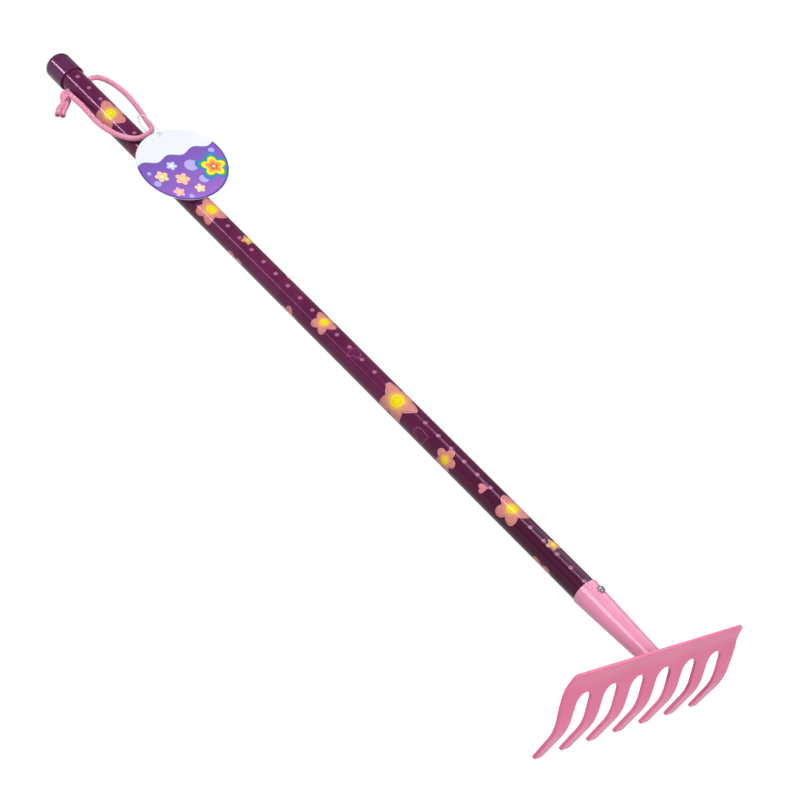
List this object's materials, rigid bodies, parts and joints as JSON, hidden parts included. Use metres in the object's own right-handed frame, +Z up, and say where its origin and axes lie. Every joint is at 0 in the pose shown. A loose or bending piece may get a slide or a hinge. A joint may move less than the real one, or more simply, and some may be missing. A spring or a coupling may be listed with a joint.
{
  "type": "sand rake",
  "caption": "Child's rake for sand: pressed steel tine plate with a welded socket, a film-covered wooden handle with an end cap, a hanging cord through a cross hole and a round card tag.",
  "frame": {"origin": "middle of the box of the standing rake, on the floor under it; the cord, its knot and tails, the clear loop and the tag are left out of that box", "axes": "+X from the tines to the grip, +Y to the rake's right seen from the grip looking at the tines, +Z up; the rake stands on the tips of its tines and on the rim of its end cap"},
  "size_m": [0.8316, 0.2184, 0.0841],
  "materials": {
    "painted_steel": "gloss pink enamel",
    "screw_steel": "zinc-plated",
    "stick_wood": "turned, unpainted, hidden under the film",
    "printed_film": "glossy shrunk film printed with flowers, dots and hearts",
    "cap_plastic": "smooth moulded plastic",
    "cord": "braided cord",
    "clear_plastic": "clear moulded loop",
    "tag_card": "laminated card"
  },
  "bodies": {
    "rake": {"tine_plate": "painted_steel", "socket": "painted_steel", "weld_bead": "painted_steel", "socket_screw": "screw_steel", "handle_core": "stick_wood", "printed_film": "printed_film", "end_cap": "cap_plastic"},
    "cord_loop": {"hang_cord": "cord", "cord_knot": "cord", "long_tail": "cord", "short_tail": "cord"},
    "clear_loop": {"tag_loop": "clear_plastic"},
    "tag": {"hang_tag": "tag_card"}
  },
  "joints": [
    {"name": "loop_swing", "type": "hinge", "parent": "rake", "child": "cord_loop", "pos_m": [0.3775, 0, 0.01507], "axis": [-0.036, 0.866, -0.4987], "range_deg": [0, 135]},
    {"name": "clear_loop_swing", "type": "hinge", "parent": "cord_loop", "child": "clear_loop", "pos_m": [0.28068, -0.00288, 0.0394], "axis": [0.0236, 0.9455, -0.3247], "range_deg": [0, 14]},
    {"name": "tag_swing", "type": "hinge", "parent": "clear_loop", "child": "tag", "pos_m": [0.2698, 0, 0.047], "axis": [0.0236, 0.9455, -0.3247], "range_deg": [0, 90]}
  ]
}
